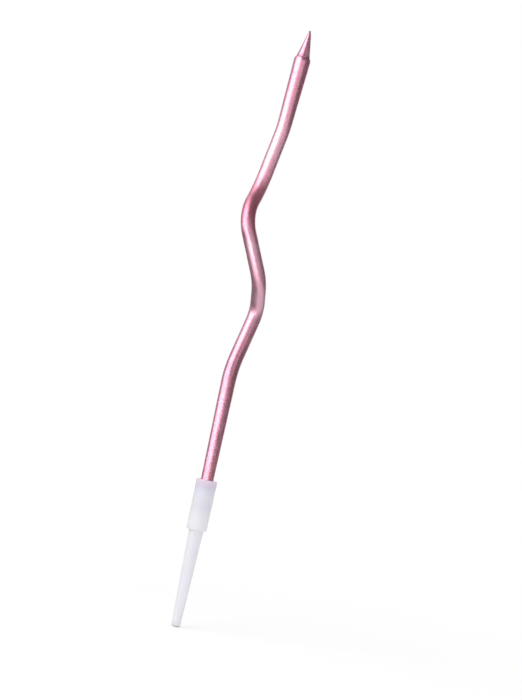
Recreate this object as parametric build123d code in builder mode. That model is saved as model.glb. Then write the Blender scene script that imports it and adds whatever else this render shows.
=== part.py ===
import os
from math import acos, cos, radians, sin, sqrt, tan

from build123d import *

os.makedirs("parts", exist_ok=True)

# Holder: a sleeve with a blind socket, on a tapered spike that goes into the cake
sleeve_length = 13.9
mouth_wall = 1.05
sleeve_draft = 0.1
socket_depth = 8.6
mouth_round = 0.2
shoulder_width = 0.8
shoulder_round = 0.5
spike_length = 26.4
spike_end_dia = 2.4
spike_end_round = 0.15

# Candle rod, measured over its coat
foot_dia = 3.5
rod_dia = 4.0
top_dia = 4.6
top_draw = 0.3
top_draw_rise = 1.1
coat_wall = 0.2

# Corners of the rod's line, before they are rounded: how far each is above the one before
foot_run_rise = 30.7
lead_in_rise = 16.6
right_side_rise = 8.0
crossing_rise = 16.6
left_side_rise = 8.4
lead_out_rise = 16.7

# How far the corners stand out to the right or left, and behind or in front of the axis
right_low_reach = 3.5
right_high_reach = 2.5
left_low_reach = 5.0
left_high_reach = 2.7
right_low_back = 3.2
right_high_front = 2.1
left_low_front = 4.3
left_high_back = 1.4

# Radii that the corners are rounded to, from the lowest to the highest
foot_bend = 25.0
right_low_bend = 7.0
right_high_bend = 11.0
left_low_bend = 10.0
left_high_bend = 12.0
upper_bend = 29.0

# Upper run: it leans to the right
upper_run_shift = 0.1
upper_run_lean = 3.2
upper_run_length = 18.0

# Pointed end and wick
cone_length = 6.5
cone_step = 0.1
cone_end_lip = 0.1
cone_end_round = 0.05
wick_dia = 0.7
wick_stand_out = 0.9

# Clearances, each on the radius
socket_clearance = 0.05
layer_clearance = 0.03

# Radii that follow from what fits together
socket_radius = foot_dia / 2 + socket_clearance
sleeve_mouth_radius = socket_radius + mouth_wall
sleeve_foot_radius = sleeve_mouth_radius - sleeve_draft
spike_top_radius = sleeve_foot_radius - shoulder_width
wick_bore_radius = wick_dia / 2 + layer_clearance
cone_base_radius = top_dia / 2 - top_draw - cone_step
cone_end_radius = wick_bore_radius + cone_end_lip

# Heights above the shoulder that rests on the cake
mouth_height = sleeve_length
socket_floor = mouth_height - socket_depth
foot_height = socket_floor
foot_corner_height = mouth_height + foot_run_rise
right_low_height = foot_corner_height + lead_in_rise
right_high_height = right_low_height + right_side_rise
left_low_height = right_high_height + crossing_rise
left_high_height = left_low_height + left_side_rise
upper_corner_height = left_high_height + lead_out_rise

# Corners of the line from the foot to a point on the upper run: one open turn, left-handed
lean = radians(upper_run_lean)
upper_direction = Vector(sin(lean), 0, cos(lean))
foot_point = Vector(0, 0, foot_height)
upper_corner = Vector(upper_run_shift, 0, upper_corner_height)
corners = [
    foot_point,
    Vector(0, 0, foot_corner_height),
    Vector(right_low_reach, right_low_back, right_low_height),
    Vector(right_high_reach, -right_high_front, right_high_height),
    Vector(-left_low_reach, -left_low_front, left_low_height),
    Vector(-left_high_reach, left_high_back, left_high_height),
    upper_corner,
    upper_corner + upper_direction * upper_run_length,
]
bend_radii = [foot_bend, right_low_bend, right_high_bend, left_low_bend, left_high_bend, upper_bend]


# Start, end and first direction of the arc that rounds a corner
def round_corner(before, corner, after, radius):
    arriving = (corner - before).normalized()
    leaving = (after - corner).normalized()
    cut = radius * tan(acos(arriving.dot(leaving)) / 2)
    return corner - arriving * cut, corner + leaving * cut, arriving


# Line of the turn, from the first bend's start to the last one's end
bends = [round_corner(*group) for group in zip(corners, corners[1:], corners[2:], bend_radii)]
bend_point = bends[0][0]
upper_point = bends[-1][1]
bend_height = bend_point.Z
with BuildLine() as turn_line:
    for start, end, arriving in bends:
        TangentArc(start, end, tangent=arriving)
    for (_, run_start, _), (run_end, _, _) in zip(bends, bends[1:]):
        Line(run_start, run_end)

# Distances along the upper run, and the line of the wick from the foot to its free end
round_start = upper_run_length - top_draw_rise
cone_end = upper_run_length + cone_length
wick_end = cone_end + wick_stand_out
upper_axis = Axis(upper_point, upper_direction)
upper_plane = Plane(upper_point, x_dir=(cos(lean), 0, -sin(lean)), z_dir=(0, -1, 0))
with BuildLine() as wick_line:
    Line(foot_point, bend_point)
    add(turn_line.line)
    Line(upper_point, upper_point + upper_direction * wick_end)

# Radius of the arc that draws the rod in from its top diameter to its cut end
top_round = (top_draw_rise**2 + top_draw**2) / (2 * top_draw)


# Rod lying a given depth under the coat's outside: tapered foot, turn and tapered upper run
def lay_rod(depth, mode=Mode.ADD):
    foot_radius = foot_dia / 2 - depth
    rod_radius = rod_dia / 2 - depth
    top_radius = top_dia / 2 - depth
    round_radius = top_round - depth
    end_radius = top_radius - round_radius + sqrt(round_radius**2 - top_draw_rise**2)
    with BuildSketch(Plane.XZ) as foot_profile:
        with BuildLine():
            Polyline(
                (0, foot_height),
                (foot_radius, foot_height),
                (foot_radius, mouth_height),
                (rod_radius, bend_height),
                (0, bend_height),
                close=True,
            )
        make_face()
    with BuildSketch(Plane(bend_point)) as turn_profile:
        Circle(rod_radius)
    with BuildSketch(upper_plane) as upper_profile:
        with BuildLine():
            Polyline((0, upper_run_length), (0, 0), (rod_radius, 0), (top_radius, round_start))
            RadiusArc((top_radius, round_start), (end_radius, upper_run_length), -round_radius)
            Line((end_radius, upper_run_length), (0, upper_run_length))
        make_face()
    revolve(foot_profile.sketch, axis=Axis.Z, mode=mode)
    sweep(turn_profile.sketch, path=turn_line.wire(), mode=mode)
    revolve(upper_profile.sketch, axis=upper_axis, mode=mode)


# Round passage for the wick
def bore_wick():
    with BuildSketch(Plane(foot_point)) as bore_profile:
        Circle(wick_bore_radius)
    sweep(bore_profile.sketch, path=wick_line.wire(), mode=Mode.SUBTRACT)


# Wick: cotton cord through the whole candle
with BuildPart() as wick:
    with BuildSketch(Plane(foot_point)):
        Circle(wick_dia / 2)
    sweep(path=wick_line.wire())
wick.part.label = "wick"

# Wax core: the rod under its coat, with the passage for the wick
with BuildPart() as wax_core:
    lay_rod(coat_wall + layer_clearance)
    bore_wick()
wax_core.part.label = "wax_core"

# Metallic coat: a thin skin round the rod, open at both cut ends
with BuildPart() as metallic_coat:
    lay_rod(0)
    lay_rod(coat_wall, mode=Mode.SUBTRACT)
metallic_coat.part.label = "metallic_coat"

# Tip cone: the wax point that sits on the rod's cut end
with BuildPart() as tip_cone:
    with BuildSketch(upper_plane):
        with BuildLine():
            Polyline(
                (0, upper_run_length),
                (cone_base_radius, upper_run_length),
                (cone_end_radius, cone_end),
                (0, cone_end),
                close=True,
            )
        make_face()
    revolve(axis=upper_axis)
    fillet(tip_cone.edges().filter_by(GeomType.CIRCLE).sort_by(upper_axis)[-1], cone_end_round)
    bore_wick()
tip_cone.part.label = "tip_cone"

# Holder: sleeve, socket and spike turned as one moulding
with BuildPart() as holder:
    with BuildSketch(Plane.XZ) as holder_profile:
        with BuildLine():
            Polyline(
                (0, -spike_length),
                (spike_end_dia / 2, -spike_length),
                (spike_top_radius, 0),
                (sleeve_foot_radius, 0),
                (sleeve_mouth_radius, mouth_height),
                (socket_radius, mouth_height),
                (socket_radius, socket_floor),
                (0, socket_floor),
                close=True,
            )
        make_face()
        fillet(holder_profile.vertices().group_by(Axis.Y)[-1], mouth_round)
        fillet(holder_profile.vertices().sort_by(Axis.Y)[:2].sort_by(Axis.X)[-1], spike_end_round)
        fillet(holder_profile.vertices().sort_by_distance((sleeve_foot_radius, 0))[0], shoulder_round)
    revolve(axis=Axis.Z)
holder.part.label = "holder"

for piece in (wick, wax_core, metallic_coat, tip_cone, holder):
    export_step(piece.part, f"parts/{piece.part.label}.step")

tightest_bend = min(bend_radii)
print(f"rod {wick_line.wire().length:.1f} mm long, tightest bend {tightest_bend:.1f} mm")
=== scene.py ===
from math import cos, pi, radians, sin, sqrt, tan

import bmesh
import bpy
from mathutils import Matrix, Vector, noise


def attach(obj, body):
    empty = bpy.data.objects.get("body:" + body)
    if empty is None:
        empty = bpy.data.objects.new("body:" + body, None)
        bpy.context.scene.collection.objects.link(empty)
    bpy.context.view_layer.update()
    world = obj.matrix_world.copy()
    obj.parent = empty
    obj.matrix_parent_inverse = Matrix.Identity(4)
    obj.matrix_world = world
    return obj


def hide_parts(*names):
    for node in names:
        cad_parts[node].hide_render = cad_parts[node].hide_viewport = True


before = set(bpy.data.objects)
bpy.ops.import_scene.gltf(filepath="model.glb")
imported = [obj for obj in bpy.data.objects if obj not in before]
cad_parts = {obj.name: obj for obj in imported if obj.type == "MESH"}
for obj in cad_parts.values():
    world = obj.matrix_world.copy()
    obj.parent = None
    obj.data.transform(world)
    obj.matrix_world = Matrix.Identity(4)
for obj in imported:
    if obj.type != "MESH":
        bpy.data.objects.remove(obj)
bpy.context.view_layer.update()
print("frame loaded:", ", ".join(sorted(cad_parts)))

mm = 0.001  # pieces are modelled in millimetres and scaled to metres when they are finished
mergeGap, nearEnough = 0.002, 0.01  # in millimetres: points to merge, and edges to find by their place


# Small helpers for node trees

def freshMaterial(name):
    material = bpy.data.materials.new(name)
    material.use_nodes = True
    tree = material.node_tree
    tree.nodes.clear()
    output = tree.nodes.new("ShaderNodeOutputMaterial")
    shader = tree.nodes.new("ShaderNodeBsdfPrincipled")
    tree.links.new(shader.outputs["BSDF"], output.inputs["Surface"])
    return material, tree, shader


def addNode(tree, kind, inputs=None, **settings):
    made = tree.nodes.new(kind)
    for key, value in settings.items():
        setattr(made, key, value)
    for key, value in (inputs or {}).items():
        if isinstance(value, bpy.types.NodeSocket):
            tree.links.new(value, made.inputs[key])
        else:
            made.inputs[key].default_value = value
    return made


# A noise that is stretched by its scale, in the units of the coordinates it is given
def addNoise(tree, place, scale, detail=2.0, rough=0.5):
    spread = addNode(tree, "ShaderNodeVectorMath", {0: place, 1: scale}, operation="MULTIPLY")
    made = addNode(tree, "ShaderNodeTexNoise", {"Vector": spread.outputs["Vector"], "Scale": 1.0,
                                                "Detail": detail, "Roughness": rough})
    return made.outputs["Fac"]


def addRamp(tree, factor, stops):
    ramp = addNode(tree, "ShaderNodeValToRGB", {"Fac": factor})
    band = ramp.color_ramp.elements
    while len(band) < len(stops):
        band.new(0.5)
    for element, (place, colour) in zip(band, stops):
        element.position = place
        element.color = (*colour, 1.0)
    return ramp.outputs["Color"]


def addMixColour(tree, factor, first, second):
    made = addNode(tree, "ShaderNodeMix", data_type="RGBA")
    for socket, value in ((made.inputs[0], factor), (made.inputs[6], first), (made.inputs[7], second)):
        if isinstance(value, bpy.types.NodeSocket):
            tree.links.new(value, socket)
        else:
            socket.default_value = value if socket is made.inputs[0] else (*value, 1.0)
    return made.outputs[2]


def addRange(tree, value, fromLow, fromHigh, toLow, toHigh):
    made = addNode(tree, "ShaderNodeMapRange", {0: value, 1: fromLow, 2: fromHigh, 3: toLow, 4: toHigh})
    return made.outputs[0]


def addMath(tree, operation, first, second=0.0):
    return addNode(tree, "ShaderNodeMath", {0: first, 1: second}, operation=operation).outputs[0]


# Strength that is full at one place of a coordinate and fades out on either side of it
def addZone(tree, along, centre, reach, level):
    away = addMath(tree, "ABSOLUTE", addMath(tree, "SUBTRACT", along, centre))
    return addRange(tree, away, 0.0, reach, level, 0.0)


def addBump(tree, height, strength, distance, under=None):
    relief = addNode(tree, "ShaderNodeBump", {"Height": height, "Strength": strength, "Distance": distance})
    if under:
        tree.links.new(under, relief.inputs["Normal"])
    return relief.outputs["Normal"]


# Small helpers for meshes

def finishPiece(name, bm, material, body, node, sharpAngle=40.0):
    bmesh.ops.scale(bm, verts=bm.verts, vec=(mm, mm, mm))
    mesh = bpy.data.meshes.new(name)
    bm.to_mesh(mesh)
    bm.free()
    mesh.materials.append(material)
    mesh.shade_smooth()
    mesh.set_sharp_from_angle(angle=radians(sharpAngle))
    piece = bpy.data.objects.new(name, mesh)
    bpy.context.scene.collection.objects.link(piece)
    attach(piece, body)
    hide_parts(node)
    print(f"{name}: {len(mesh.vertices)} vertices, {len(mesh.polygons)} faces")


# A wire of points turned once round an axis, closed where it meets itself
def turnWire(bm, points, centre, axis, sides, closed=False):
    verts = [bm.verts.new(point) for point in points]
    edges = [bm.edges.new(pair) for pair in zip(verts, verts[1:])]
    if closed:
        edges.append(bm.edges.new((verts[-1], verts[0])))
    bmesh.ops.spin(bm, geom=verts + edges, cent=centre, axis=axis, angle=2 * pi, steps=sides, use_merge=True)
    bmesh.ops.remove_doubles(bm, verts=bm.verts, dist=mergeGap)
    bmesh.ops.recalc_face_normals(bm, faces=bm.faces)


def roundEdges(bm, edges, offset, segments):
    bmesh.ops.bevel(bm, geom=edges, offset=offset, offset_type="OFFSET", segments=segments, profile=0.5,
                    affect="EDGES", clamp_overlap=True, material=-1)


# Rounds the edge loop of a turned piece that lies at a given radius and height
def roundLoop(bm, radius, height, offset, segments):
    def onLoop(v):
        return abs(v.co.xy.length - radius) < nearEnough and abs(v.co.z - height) < nearEnough
    roundEdges(bm, [edge for edge in bm.edges if all(onLoop(v) for v in edge.verts)], offset, segments)


# Line of the rod: corners of a straight foot, one open turn and an upper run that leans to the right
rodLine = {
    "corners": [(0, 0, 5.3), (0, 0, 44.6), (3.5, 3.2, 61.2), (2.5, -2.1, 69.2), (-5.0, -4.3, 85.8),
                (-2.7, 1.4, 94.2), (0.1, 0, 110.9)],
    "bendRadii": [25.0, 7.0, 11.0, 10.0, 12.0, 29.0],
    "upperLean": 3.2, "upperRun": 18.0, "ringStep": 0.5,
}

upward = Vector((0, 0, 1))
lean = radians(rodLine["upperLean"])
upperDirection = Vector((sin(lean), 0, cos(lean)))
upperSide = Vector((cos(lean), 0, -sin(lean)))
corners = [Vector(corner) for corner in rodLine["corners"]]
rodFoot = corners[0]


def runMove(step):
    return {"step": step, "length": step.length}


# Runs and arcs of the line, and the point where the upper run starts
def rodMoves():
    moves, here = [], rodFoot
    ahead = corners[1:] + [corners[-1] + upperDirection * rodLine["upperRun"]]
    for before, corner, after, radius in zip(corners, ahead, ahead[1:], rodLine["bendRadii"]):
        arriving = (corner - before).normalized()
        leaving = (after - corner).normalized()
        turn = arriving.angle(leaving)
        cut = radius * tan(turn / 2)
        start = corner - arriving * cut
        inward = (leaving - arriving * arriving.dot(leaving)).normalized()
        moves.append(runMove(start - here))
        moves.append({"centre": start + inward * radius, "axis": arriving.cross(inward), "angle": turn,
                      "length": turn * radius})
        here = corner + leaving * cut
    return moves, here


# Sweeps a ring along moves; each vertex keeps its place on a straightened rod in a layer of its own
def sweepRing(bm, moves, start, radiusAt, sides, ringStep):
    place = bm.verts.layers.float_vector.new("straightRod")
    made = bmesh.ops.create_circle(bm, segments=sides, radius=radiusAt(0.0), matrix=Matrix.Translation(start))
    for v in made["verts"]:
        v[place] = (v.co.x, v.co.y, 0.0)
    ring = list(dict.fromkeys(edge for v in made["verts"] for edge in v.link_edges))
    centre, gone = start.copy(), 0.0
    for move in moves:
        steps = move.get("steps") or max(2, round(move["length"] / ringStep))
        for count in range(steps):
            if "axis" in move:
                angle = move["angle"] / steps
                made = bmesh.ops.spin(bm, geom=ring, cent=move["centre"], axis=move["axis"], angle=angle,
                                      steps=1)
                grown = made["geom_last"]
                turn = Matrix.Rotation(angle, 3, move["axis"])
                centre = move["centre"] + turn @ (centre - move["centre"])
            else:
                grown = bmesh.ops.extrude_edge_only(bm, edges=ring)["geom"]
                step = move["step"] / steps
                centre = centre + step
            verts = [g for g in grown if isinstance(g, bmesh.types.BMVert)]
            if "step" in move:
                bmesh.ops.translate(bm, verts=verts, vec=step)
            ring = [g for g in grown if isinstance(g, bmesh.types.BMEdge) and g.is_boundary]
            before, gone = gone, gone + move["length"] / steps
            swell = radiusAt(gone) / radiusAt(before)
            bmesh.ops.scale(bm, verts=verts, vec=(swell, swell, swell), space=Matrix.Translation(-centre))
            for v in verts:
                v[place] = (v[place].x * swell, v[place].y * swell, gone)
    return ring


bodyMoves, upperStart = rodMoves()
rodEnd = upperStart + upperDirection * rodLine["upperRun"]
bodyLength = sum(move["length"] for move in bodyMoves)
rodLength = bodyLength + rodLine["upperRun"]
print(f"rod line: {rodLength:.1f} mm in {len(bodyMoves) + 1} moves")


# Pink metallic coat of the rod
coat = {
    "footRadius": 1.75, "rodRadius": 2.0, "topRadius": 2.3,
    "straightFoot": 8.6, "draw": 0.3, "drawRise": 1.1, "drawSteps": 10,
    "wall": 0.2, "sides": 64, "dentDepth": 0.035, "dentSize": 3.0,
    "pink": (0.82, 0.31, 0.42), "rose": (0.66, 0.17, 0.26), "mauve": (0.71, 0.28, 0.43),
    "edge": (0.82, 0.72, 0.78),
    "lightAndShadeBands": [  # bands of painted light and shade at the bends, partly the lacquer's own tone: place along the rod, reach, level and colour
        (39.5, 9.0, 0.8, (0.48, 0.16, 0.24)),
        (61.0, 16.0, 0.85, (0.56, 0.37, 0.48)),
        (75.0, 8.0, 0.6, (0.94, 0.64, 0.74)),
        (85.0, 9.0, 0.75, (0.50, 0.06, 0.14)),
        (105.0, 13.0, 0.6, (0.94, 0.60, 0.71)),
    ],
    "dull": [(61.0, 16.0, 0.15), (92.0, 12.0, 0.16)],  # place along the rod, reach and added roughness
    "rough": (0.25, 0.40), "polish": 0.12, "polishEnd": 44.0, "clearRough": 0.33, "clearIor": 1.9,
}


def coatRadius(along):
    shoulder = rodLength - coat["drawRise"]
    if along <= coat["straightFoot"]:
        return coat["footRadius"]
    taperEnd = bodyMoves[0]["length"]
    if along <= taperEnd:
        share = (along - coat["straightFoot"]) / (taperEnd - coat["straightFoot"])
        return coat["footRadius"] + share * (coat["rodRadius"] - coat["footRadius"])
    if along <= bodyLength:
        return coat["rodRadius"]
    if along <= shoulder:
        share = (along - bodyLength) / (shoulder - bodyLength)
        return coat["rodRadius"] + share * (coat["topRadius"] - coat["rodRadius"])
    drawRound = (coat["drawRise"] ** 2 + coat["draw"] ** 2) / (2 * coat["draw"])
    rise = min(along - shoulder, coat["drawRise"])
    return coat["topRadius"] - drawRound + sqrt(drawRound ** 2 - rise ** 2)


def lacquerMaterial():
    material, tree, shader = freshMaterial("pinkMetallicLacquer")
    place = addNode(tree, "ShaderNodeAttribute", attribute_name="straightRod").outputs["Vector"]
    grain = addNoise(tree, place, (2.0, 2.0, 1.5), detail=3.0, rough=0.6)
    streak = addNoise(tree, place, (2.6, 2.6, 0.35), detail=3.0)
    cloud = addNoise(tree, place, (0.5, 0.5, 0.12), detail=1.0)
    flake = addNode(tree, "ShaderNodeTexVoronoi", {"Vector": place, "Scale": 8.0}, feature="F1")
    flakeTone = addNode(tree, "ShaderNodeSeparateColor", {"Color": flake.outputs["Color"]}).outputs[0]
    tone = addMixColour(tree, addRange(tree, grain, 0.38, 0.62, 0.0, 1.0), coat["rose"], coat["pink"])
    tone = addMixColour(tree, addRange(tree, cloud, 0.4, 0.7, 0.0, 0.6), tone, coat["mauve"])
    tone = addMixColour(tree, addRange(tree, flakeTone, 0.0, 1.0, 0.0, 0.25), tone, coat["pink"])
    along = addNode(tree, "ShaderNodeSeparateXYZ", {"Vector": place}).outputs["Z"]
    streaky = addRange(tree, streak, 0.3, 0.7, 0.5, 1.0)
    # painted light and shade: the lacquer is darkened, reddened or paled in bands at the bends
    for centre, reach, level, colour in coat["lightAndShadeBands"]:
        near = addMath(tree, "MULTIPLY", addZone(tree, along, centre, reach, level), streaky)
        tone = addMixColour(tree, near, tone, colour)
    tree.links.new(tone, shader.inputs["Base Color"])
    rough = addRange(tree, streak, 0.3, 0.7, *coat["rough"])
    dull = addRange(tree, along, coat["straightFoot"], coat["polishEnd"], -coat["polish"], 0.0)
    for centre, reach, rise in coat["dull"]:
        dull = addMath(tree, "ADD", dull, addZone(tree, along, centre, reach, rise))
    tree.links.new(addMath(tree, "ADD", rough, dull), shader.inputs["Roughness"])
    relief = addBump(tree, streak, strength=0.5, distance=0.00003)
    relief = addBump(tree, grain, strength=0.65, distance=0.00004, under=relief)
    relief = addBump(tree, flakeTone, strength=0.25, distance=0.00001, under=relief)
    tree.links.new(relief, shader.inputs["Normal"])
    shader.inputs["Metallic"].default_value = 1.0
    shader.inputs["Specular Tint"].default_value = (*coat["edge"], 1.0)
    shader.inputs["Coat Weight"].default_value = 1.0
    shader.inputs["Coat IOR"].default_value = coat["clearIor"]
    shader.inputs["Coat Roughness"].default_value = coat["clearRough"]
    return material


def makeCoat():
    bm = bmesh.new()
    upper = runMove(upperDirection * (rodLine["upperRun"] - coat["drawRise"]))
    shoulder = runMove(upperDirection * coat["drawRise"])
    shoulder["steps"] = coat["drawSteps"]
    moves = bodyMoves + [upper, shoulder]
    sweepRing(bm, moves, rodFoot, coatRadius, coat["sides"], rodLine["ringStep"])
    bmesh.ops.recalc_face_normals(bm, faces=bm.faces)
    bm.normal_update()
    place = bm.verts.layers.float_vector["straightRod"]
    for v in bm.verts:  # shallow dents of a hand-bent rod, always inward
        dent = 0.5 - 0.5 * noise.noise(v[place] / coat["dentSize"])
        v.co -= v.normal * dent * coat["dentDepth"]
    bmesh.ops.solidify(bm, geom=bm.faces, thickness=coat["wall"])
    finishPiece("metallicCoat", bm, lacquerMaterial(), "candle_body", "metallic_coat")


makeCoat()


# Pointed wax end on the rod's cut end
tipCone = {
    "baseRadius": 1.90, "grooveRadius": 1.78, "grooveRise": 0.22, "length": 6.5, "endRadius": 0.48,
    "boreRadius": 0.38, "endRise": 0.1, "endStep": 0.05, "rings": 26, "sides": 72,
    "lumpDepth": 0.04, "lumpSize": 1.1, "lumpMargin": 0.05,
    "pink": (0.80, 0.36, 0.48), "wine": (0.62, 0.22, 0.33), "seamShade": (0.30, 0.10, 0.15),
}


def pointMaterial():
    material, tree, shader = freshMaterial("dippedPinkWax")
    place = addNode(tree, "ShaderNodeAttribute", attribute_name="straightRod").outputs["Vector"]
    height = addNode(tree, "ShaderNodeSeparateXYZ", {"Vector": place}).outputs["Z"]
    grain = addNoise(tree, place, (4.0, 4.0, 3.0), detail=3.0, rough=0.6)
    cloud = addNoise(tree, place, (0.9, 0.9, 0.5), detail=2.0)
    tone = addMixColour(tree, addRange(tree, cloud, 0.35, 0.65, 0.0, 1.0), tipCone["wine"], tipCone["pink"])
    tone = addMixColour(tree, addRange(tree, grain, 0.4, 0.6, 0.0, 0.5), tone, tipCone["pink"])
    # painted shade: a dark patchy band at the cone's foot, in the groove where it meets the rod
    seamShadeBand = addRange(tree, height, 0.15, 0.55, 1.0, 0.0)
    patchy = addMath(tree, "MULTIPLY", seamShadeBand, addRange(tree, cloud, 0.35, 0.6, 0.3, 1.0))
    tone = addMixColour(tree, patchy, tone, tipCone["seamShade"])
    tree.links.new(tone, shader.inputs["Base Color"])
    rough = addRange(tree, grain, 0.3, 0.7, 0.20, 0.34)
    tree.links.new(rough, shader.inputs["Roughness"])
    tree.links.new(addBump(tree, grain, strength=0.5, distance=0.00003), shader.inputs["Normal"])
    shader.inputs["Metallic"].default_value = 0.8
    shader.inputs["Coat Weight"].default_value = 0.9
    shader.inputs["Coat Roughness"].default_value = 0.2
    return material


def makeTipCone():
    bm = bmesh.new()
    place = bm.verts.layers.float_vector.new("straightRod")
    wire = [(tipCone["boreRadius"], 0.0), (tipCone["grooveRadius"], 0.0)]
    climb = tipCone["length"] - tipCone["grooveRise"] - tipCone["endRise"]
    for count in range(tipCone["rings"] + 1):
        rise = tipCone["grooveRise"] + count / tipCone["rings"] * climb
        full = rise / tipCone["length"]
        wire.append((tipCone["baseRadius"] + full * (tipCone["endRadius"] - tipCone["baseRadius"]), rise))
    wire.append((tipCone["endRadius"] - tipCone["endStep"], tipCone["length"]))
    wire.append((tipCone["boreRadius"], tipCone["length"] - tipCone["endStep"]))
    points = [rodEnd + upperSide * radius + upperDirection * rise for radius, rise in wire]
    turnWire(bm, points, rodEnd, upperDirection, tipCone["sides"], closed=True)
    bm.normal_update()
    across = upperDirection.cross(upperSide)
    for v in bm.verts:  # place on a straightened cone, then the unevenness of the dip
        arm = v.co - rodEnd
        v[place] = (arm.dot(upperSide), arm.dot(across), arm.dot(upperDirection))
    for v in bm.verts:
        outside = v[place].xy.length > tipCone["boreRadius"] + tipCone["lumpMargin"]
        if outside and v[place].z > tipCone["lumpMargin"]:
            lump = 0.5 - 0.5 * noise.noise(v[place] / tipCone["lumpSize"])
            outward = (v.co - rodEnd - upperDirection * v[place].z).normalized()
            v.co -= outward * lump * tipCone["lumpDepth"]
    finishPiece("pointedEnd", bm, pointMaterial(), "candle_body", "tip_cone", sharpAngle=50.0)


makeTipCone()


# Wick: a cord through the wax, laid as three twisted strands where it comes out
wick = {
    "radius": 0.34, "sides": 16, "ringStep": 1.0,
    "strands": 3, "strandRadius": 0.17, "strandOffset": 0.175, "strandSides": 12, "strandStart": 5.6,
    "sunk": 0.3, "wickEnd": 7.38, "shorter": 0.07,  # strands start in the cord, each shorter than the last
    "endRound": 0.04, "roundSteps": 3, "twist": 200.0, "steps": 40,
    "dark": (0.13, 0.10, 0.10), "grey": (0.34, 0.29, 0.29), "pale": (0.55, 0.47, 0.46),
}


def cottonMaterial():
    material, tree, shader = freshMaterial("waxedCotton")
    place = addNode(tree, "ShaderNodeTexCoord").outputs["Object"]
    fibre = addNoise(tree, place, (14000.0, 14000.0, 3000.0), detail=2.0)
    blotch = addNoise(tree, place, (1500.0, 1500.0, 1500.0), detail=2.0)
    tone = addRamp(tree, fibre, [(0.3, wick["dark"]), (0.55, wick["grey"]), (0.8, wick["pale"])])
    tone = addMixColour(tree, addRange(tree, blotch, 0.4, 0.7, 0.0, 0.7), tone, wick["dark"])
    tree.links.new(tone, shader.inputs["Base Color"])
    tree.links.new(addBump(tree, fibre, strength=0.8, distance=0.00003), shader.inputs["Normal"])
    shader.inputs["Roughness"].default_value = 0.62
    shader.inputs["Sheen Weight"].default_value = 0.2
    return material


def makeWick():
    bm = bmesh.new()
    buried = runMove(upperDirection * (rodLine["upperRun"] + wick["strandStart"]))
    ends = sweepRing(bm, bodyMoves + [buried], rodFoot, lambda along: wick["radius"], wick["sides"],
                     wick["ringStep"])
    bmesh.ops.edgeloop_fill(bm, edges=ends)
    footEdges = [edge for edge in bm.edges if edge.is_boundary]
    bmesh.ops.edgeloop_fill(bm, edges=footEdges)
    strandLength = wick["wickEnd"] - wick["strandStart"]
    upright = upperDirection.to_track_quat("Z", "Y").to_matrix().to_4x4()
    for count in range(wick["strands"]):
        around = 2 * pi * count / wick["strands"]
        arm = Matrix.Rotation(around, 3, upperDirection) @ upperSide
        centre = rodEnd + upperDirection * (wick["strandStart"] - wick["sunk"]) + arm * wick["strandOffset"]
        made = bmesh.ops.create_circle(bm, segments=wick["strandSides"], radius=wick["strandRadius"],
                                       matrix=Matrix.Translation(centre) @ upright)
        ring = list(dict.fromkeys(edge for v in made["verts"] for edge in v.link_edges))
        bmesh.ops.edgeloop_fill(bm, edges=ring)
        ring = [edge for edge in ring if len(edge.link_faces) == 1]
        climb = strandLength + wick["sunk"] - wick["shorter"] * count
        made = bmesh.ops.spin(bm, geom=ring, cent=rodEnd, axis=upperDirection, angle=radians(wick["twist"]),
                              steps=wick["steps"], dvec=upperDirection * climb / wick["steps"])
        top = [g for g in made["geom_last"] if isinstance(g, bmesh.types.BMEdge)]
        cap = bmesh.ops.edgeloop_fill(bm, edges=top)["faces"]
        roundEdges(bm, list(cap[0].edges), wick["endRound"], wick["roundSteps"])
    bmesh.ops.recalc_face_normals(bm, faces=bm.faces)
    finishPiece("twistedWick", bm, cottonMaterial(), "candle_body", "wick", sharpAngle=60.0)


makeWick()


# Wax under the coat: the CAD shape is right, so it only takes a better finish
wax = {"pale": (0.88, 0.74, 0.76), "deep": (0.78, 0.58, 0.62)}


def waxMaterial():
    material, tree, shader = freshMaterial("pinkCandleWax")
    place = addNode(tree, "ShaderNodeTexCoord").outputs["Object"]
    cloud = addNoise(tree, place, (900.0, 900.0, 900.0), detail=3.0, rough=0.6)
    tone = addMixColour(tree, addRange(tree, cloud, 0.35, 0.65, 0.0, 1.0), wax["deep"], wax["pale"])
    tree.links.new(tone, shader.inputs["Base Color"])
    rough = addRange(tree, cloud, 0.3, 0.7, 0.38, 0.55)
    tree.links.new(rough, shader.inputs["Roughness"])
    tree.links.new(addBump(tree, cloud, strength=0.4, distance=0.00004), shader.inputs["Normal"])
    shader.inputs["Subsurface Weight"].default_value = 0.3
    shader.inputs["Subsurface Radius"].default_value = (1.0, 0.5, 0.4)
    shader.inputs["Subsurface Scale"].default_value = 0.001
    return material


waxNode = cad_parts["wax_core"]
waxNode.data.materials.clear()
waxNode.data.materials.append(waxMaterial())
print("wax_core: finish only")


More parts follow.
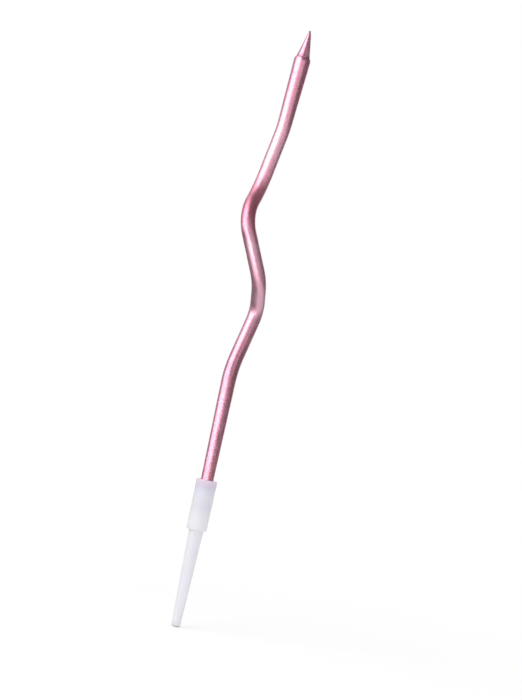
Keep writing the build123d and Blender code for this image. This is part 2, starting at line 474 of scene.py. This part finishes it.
# Frosted holder: sleeve with a socket on a tapered spike
holder = {
    "spikeEnd": -26.4, "spikeEndRadius": 1.2, "spikeTopRadius": 1.95, "sleeveFootRadius": 2.75,
    "mouth": 13.9, "mouthRadius": 2.85, "socketRadius": 1.8, "socketFloor": 5.3,
    "mouthRound": 0.2, "neckRound": 0.25, "endRound": 0.15, "roundSteps": 4,
    "shoulderRound": 0.5, "shoulderSteps": 6,
    "gateRadius": 0.42, "gateDepth": 0.12, "gateSlope": 0.1,
    "sides": 128, "longEdge": 5.0, "cuts": 8, "partingRidge": 0.035, "wallMargin": 0.3, "ridgeInner": 0.9,
    "frost": (0.86, 0.855, 0.935), "clear": (0.83, 0.825, 0.895), "warm": (0.87, 0.87, 0.87),
    "sleeve": (0.875, 0.865, 0.96), "mouthShade": (0.75, 0.58, 0.75), "socketShade": (0.70, 0.69, 0.84),
    # heights where the finish and the painted shade of the candle inside change, and depth of the scattered
    # light, in metres
    "shoulderFade": (-0.0003, 0.0003), "mouthShadeRise": (0.0112, 0.0139),
    "socketShadePlace": 0.0118, "socketShadeReach": 0.0024, "wallRise": (0.002, 0.007), "scatterScale": 0.0018,
    "solidScatter": (1.0, 1.0, 0.95), "wallScatter": (1.0, 1.0, 0.6),
}


def frostMaterial():
    material, tree, shader = freshMaterial("frostedPlastic")
    place = addNode(tree, "ShaderNodeTexCoord").outputs["Object"]
    height = addNode(tree, "ShaderNodeSeparateXYZ", {"Vector": place}).outputs["Z"]
    frost = addNoise(tree, place, (5200.0, 5200.0, 5200.0), detail=2.0)
    flow = addNoise(tree, place, (420.0, 420.0, 110.0), detail=2.0)
    tone = addMixColour(tree, addRange(tree, flow, 0.35, 0.65, 0.0, 1.0), holder["clear"], holder["frost"])
    patches = addNoise(tree, place, (320.0, 320.0, 180.0), detail=2.0)
    tone = addMixColour(tree, addRange(tree, patches, 0.4, 0.65, 0.0, 0.7), tone, holder["warm"])
    onSleeve = addRange(tree, height, *holder["shoulderFade"], 0.0, 1.0)
    tint = addMath(tree, "MULTIPLY", onSleeve, addRange(tree, patches, 0.35, 0.6, 1.0, 0.7))
    tone = addMixColour(tree, tint, tone, holder["sleeve"])
    # painted shade of the candle inside the socket, mottled by the plastic's flow marks
    socketShadeBand = addZone(tree, height, holder["socketShadePlace"], holder["socketShadeReach"], 0.8)
    socketShadeMottled = addMath(tree, "MULTIPLY", socketShadeBand, addRange(tree, flow, 0.35, 0.65, 0.5, 1.0))
    tone = addMixColour(tree, socketShadeMottled, tone, holder["socketShade"])
    # painted shade and the candle's pink seen through the sleeve, near its mouth
    mouthShadeBand = addRange(tree, height, *holder["mouthShadeRise"], 0.0, 0.85)
    tone = addMixColour(tree, mouthShadeBand, tone, holder["mouthShade"])
    tree.links.new(tone, shader.inputs["Base Color"])
    rough = addRange(tree, frost, 0.3, 0.7, 0.42, 0.58)
    tree.links.new(rough, shader.inputs["Roughness"])
    tree.links.new(addBump(tree, frost, strength=0.35, distance=0.00002), shader.inputs["Normal"])
    shader.inputs["IOR"].default_value = 1.49
    shader.inputs["Transmission Weight"].default_value = 0.10
    shader.inputs["Subsurface Weight"].default_value = 1.0
    thin = addRange(tree, height, *holder["wallRise"], 0.0, 1.0)  # blue goes less deep in the socket's wall
    scatter = addMixColour(tree, thin, holder["solidScatter"], holder["wallScatter"])
    tree.links.new(scatter, shader.inputs["Subsurface Radius"])
    shader.inputs["Subsurface Scale"].default_value = holder["scatterScale"]
    return material


def makeHolder():
    bm = bmesh.new()
    end, mouth = holder["spikeEnd"], holder["mouth"]
    wire = [
        (0.0, end + holder["gateDepth"]), (holder["gateRadius"], end + holder["gateDepth"]),
        (holder["gateRadius"] + holder["gateSlope"], end), (holder["spikeEndRadius"], end),
        (holder["spikeTopRadius"], 0.0), (holder["sleeveFootRadius"], 0.0), (holder["mouthRadius"], mouth),
        (holder["socketRadius"], mouth), (holder["socketRadius"], holder["socketFloor"]),
        (0.0, holder["socketFloor"]),
    ]
    turnWire(bm, [Vector((radius, 0, z)) for radius, z in wire], Vector(), upward, holder["sides"])
    roundLoop(bm, holder["spikeEndRadius"], end, holder["endRound"], holder["roundSteps"])
    roundLoop(bm, holder["spikeTopRadius"], 0.0, holder["neckRound"], holder["roundSteps"])
    roundLoop(bm, holder["sleeveFootRadius"], 0.0, holder["shoulderRound"], holder["shoulderSteps"])
    roundLoop(bm, holder["mouthRadius"], mouth, holder["mouthRound"], holder["roundSteps"])
    roundLoop(bm, holder["socketRadius"], mouth, holder["mouthRound"], holder["roundSteps"])
    long = [edge for edge in bm.edges if edge.calc_length() > holder["longEdge"]]
    bmesh.ops.subdivide_edges(bm, edges=long, cuts=holder["cuts"], use_grid_fill=True)
    bm.normal_update()
    for v in bm.verts:  # thin ridge where the two halves of the mould met
        outside = v.co.xy.length > holder["socketRadius"] + holder["wallMargin"] or v.co.z < 0.0
        if abs(v.co.y) < mergeGap / 2 and outside and v.co.xy.length > holder["ridgeInner"]:
            v.co.x += holder["partingRidge"] * (1 if v.co.x > 0 else -1)
    finishPiece("frostedHolder", bm, frostMaterial(), "holder_body", "holder",
                sharpAngle=50.0)


makeHolder()


# Stage: pale floor, three lamps, and grey cards that the lacquer mirrors
stage = {
    "floorSize": 3.0, "floorDrop": 0.0002, "floorColour": (0.84, 0.84, 0.84),
    "floorGlow": (0.165, 0.26), "glowReach": (0.08, 0.55), "worldLevel": 0.88,
    "lamps": [  # name, place, aim, size, power
        ("softbox", (-0.3585, -0.2825, 0.29), (0.0265, -0.0425, 0.29), (0.60, 0.62), 2.5),
        ("lowBox", (-0.06, -0.33, -0.02), (-0.06, -0.33, 1.0), (0.30, 0.24), 0.62),
        ("keyLamp", (-0.50, -0.60, 0.60), (0.0, 0.0, 0.03), (0.60, 0.60), 2.2),
    ],
    "cards": [  # name, size, place, facing, tone
        ("rightCard", (0.64, 0.70), (0.30, 0.03, 0.32), (-1, 0, 0), 0.20),
        ("lowCard", (0.30, 0.09), (0.14, -0.28, 0.02), (-0.45, 0.89, 0), 0.30),
        ("frontCard", (0.62, 0.58), (0.21, -0.55, 0.55), (0, 1, 0), 0.25),
        ("topCard", (0.55, 0.90), (0.16, -0.15, 0.60), (-0.2, 0, -1), 0.22),
        ("backCard", (0.52, 0.40), (-0.325, 0.175, 0.17), (0.744, -0.668, 0), 0.60),
        ("leftFloorCard", (0.44, 0.44), (-0.237, 0.135, -0.0264), (0, 0, 1), 0.16),
        ("upperCard", (0.13, 0.024), (0.082, -0.057, 0.090), (-0.82, 0.57, 0), 0.8),
        ("footCard", (0.05, 0.02), (0.0, -0.1, 0.064), (0, 1, 0), 0.2),
    ],
}


def flatPlate(name, width, depth, matrix, material):
    bm = bmesh.new()
    bmesh.ops.create_grid(bm, x_segments=1, y_segments=1, size=0.5,
                          matrix=matrix @ Matrix.Diagonal((width, depth, 1.0, 1.0)))
    mesh = bpy.data.meshes.new(name)
    bm.to_mesh(mesh)
    bm.free()
    mesh.materials.append(material)
    plate = bpy.data.objects.new(name, mesh)
    bpy.context.scene.collection.objects.link(plate)
    return plate


# One where a ray comes from the camera, a mirror or glass, and nought for the light on the object
def seenDirectly(tree):
    path = addNode(tree, "ShaderNodeLightPath").outputs
    seen = addMath(tree, "MAXIMUM", path["Is Camera Ray"], path["Is Glossy Ray"])
    return addMath(tree, "MAXIMUM", seen, path["Is Transmission Ray"])


def matMaterial(name, colour):
    material, tree, shader = freshMaterial(name)
    shader.inputs["Base Color"].default_value = (*colour, 1.0)
    shader.inputs["Roughness"].default_value = 0.9
    shader.inputs["Specular IOR Level"].default_value = 0.0
    return material, tree, shader


def floorMaterial():
    material, tree, shader = matMaterial("paleFloor", stage["floorColour"])
    shader.inputs["Emission Color"].default_value = (1.0, 1.0, 1.0, 1.0)
    place = addNode(tree, "ShaderNodeTexCoord").outputs["Object"]
    reach = addNode(tree, "ShaderNodeVectorMath", {0: place}, operation="LENGTH").outputs["Value"]
    level = addRange(tree, reach, *stage["glowReach"], *stage["floorGlow"])  # more where the lamp is weak
    tree.links.new(addMath(tree, "MULTIPLY", seenDirectly(tree), level), shader.inputs["Emission Strength"])
    material.cycles.emission_sampling = "NONE"
    return material


def areaLamp(name, place, aim, size, power):
    lamp = bpy.data.lights.new(name, "AREA")
    lamp.shape = "RECTANGLE"
    lamp.size, lamp.size_y = size
    lamp.energy = power
    made = bpy.data.objects.new(name, lamp)
    made.location = place
    made.rotation_euler = (Vector(aim) - Vector(place)).to_track_quat("-Z", "Y").to_euler()
    bpy.context.scene.collection.objects.link(made)
    return made


def makeStage():
    floorHeight = holder["spikeEnd"] * mm - stage["floorDrop"]
    flatPlate("floor", stage["floorSize"], stage["floorSize"],
              Matrix.Translation((0, 0, floorHeight)), floorMaterial())
    for name, size, place, facing, tone in stage["cards"]:  # seen in the lacquer's reflections alone
        turn = Vector(facing).to_track_quat("Z", "Y").to_matrix().to_4x4()
        grey = matMaterial(name + "Grey", (tone, tone, tone))[0]
        plate = flatPlate(name, *size, Matrix.Translation(place) @ turn, grey)
        plate.visible_camera = False
        plate.visible_transmission = False
        plate.visible_diffuse = False
        plate.visible_shadow = False

    softbox, lowBox, keyLamp = [areaLamp(*lamp) for lamp in stage["lamps"]]
    softbox.visible_diffuse = False  # these two are the highlights on the lacquer
    lowBox.visible_diffuse = False
    keyLamp.visible_glossy = False  # and this is the light on the pale plastic

    world = bpy.data.worlds.new("studio")
    world.use_nodes = True
    tree = world.node_tree
    tree.nodes.clear()
    level = addRange(tree, seenDirectly(tree), 0.0, 1.0, stage["worldLevel"], 1.0)
    sky = addNode(tree, "ShaderNodeBackground", {"Color": (1.0, 1.0, 1.0, 1.0), "Strength": level})
    addNode(tree, "ShaderNodeOutputWorld", {"Surface": sky.outputs["Background"]})
    bpy.context.scene.world = world
    print(f"stage: floor, {len(stage['lamps'])} lamps, {len(stage['cards'])} grey cards, white world")


makeStage()


# Camera: level, square to the candle and rolled as the photograph leans
camera = {
    "aim": (0.0068, 0.0, 0.05125), "roll": 12.2, "lens": 120.0, "sensor": 36.0,
    "pixel": 0.27, "tall": 700,  # millimetres to a pixel of the photograph, and its height in pixels
}


def makeCamera():
    data = bpy.data.cameras.new("camera")
    data.lens = camera["lens"]
    data.sensor_width = camera["sensor"]
    away = camera["pixel"] * mm * camera["tall"] * camera["lens"] / camera["sensor"]
    roll = radians(camera["roll"])
    right = Vector((cos(roll), 0, sin(roll)))
    up = Vector((-sin(roll), 0, cos(roll)))
    back = Vector((0, -1, 0))
    made = bpy.data.objects.new("camera", data)
    turn = Matrix((right, up, back)).transposed().to_4x4()
    made.matrix_world = Matrix.Translation(Vector(camera["aim"]) + back * away) @ turn
    bpy.context.scene.collection.objects.link(made)
    bpy.context.scene.camera = made
    print(f"camera: {away / mm:.0f} mm away")


makeCamera()

bpy.context.scene.view_settings.view_transform = "Standard"
